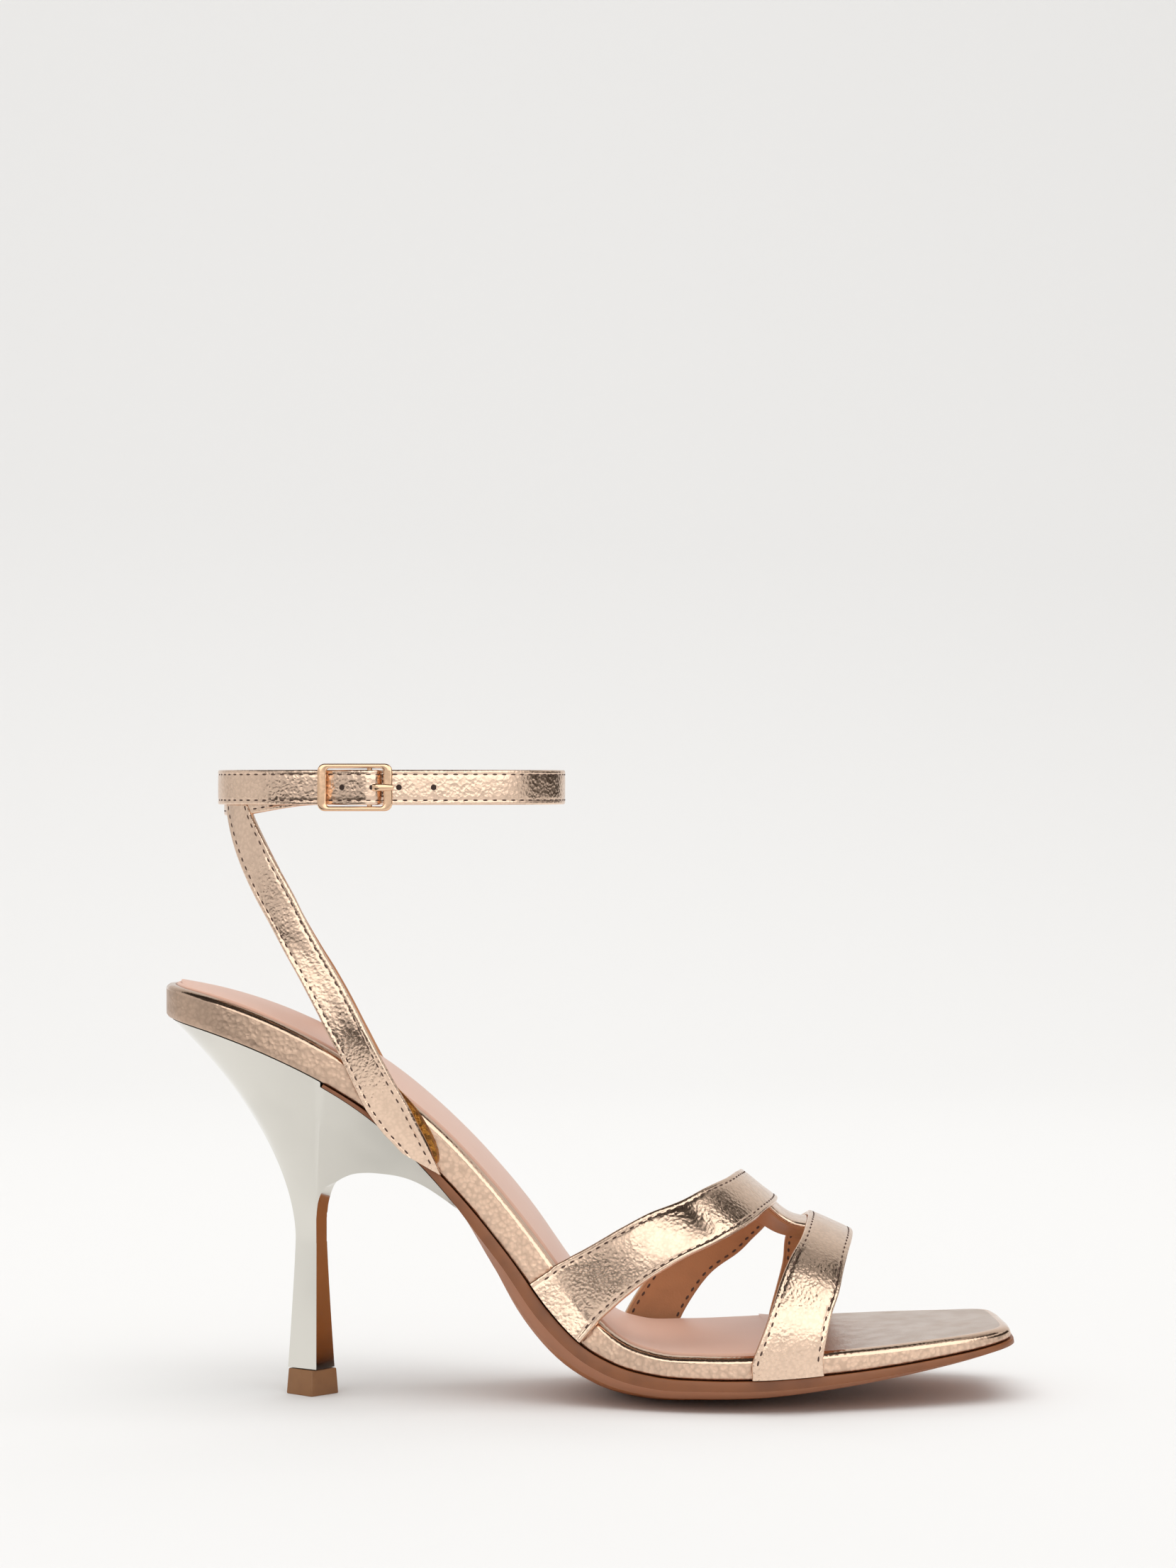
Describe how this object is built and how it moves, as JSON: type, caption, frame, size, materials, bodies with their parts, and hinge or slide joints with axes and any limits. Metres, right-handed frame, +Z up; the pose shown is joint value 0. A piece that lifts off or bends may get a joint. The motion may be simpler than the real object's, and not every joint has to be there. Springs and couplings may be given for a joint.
{
  "type": "strappy heeled sandal",
  "caption": "High-heeled open-toe sandal for the right foot, with crossed forefoot straps, a sling and a buckled ankle strap, standing empty on its sole.",
  "frame": {"origin": "centre of the heel tip's floor face", "axes": "+X towards the toe, +Y to the medial side, +Z up from the floor"},
  "size_m": [0.2166, 0.078, 0.1617],
  "materials": {
    "outsole": "dark brown composition sole with a tan bevel, half matt",
    "gold_leather": "pale gold metallic leather, creased and glossy on the straps, pebbled on the footbed's edge",
    "sock_leather": "nude pink satin lining leather",
    "plated_heel": "mirror plating, pale champagne",
    "heel_tip": "tan brown top piece, matt",
    "buckle_metal": "polished rose-gold plating"
  },
  "bodies": {
    "root": {"outsole": "outsole", "footbed": "gold_leather", "sock": "sock_leather", "heel": "plated_heel", "heel_tip": "heel_tip", "vamp": "gold_leather", "ankle_straps": "gold_leather", "buckle_frame": "buckle_metal", "buckle_prong": "buckle_metal"}
  },
  "joints": []
}
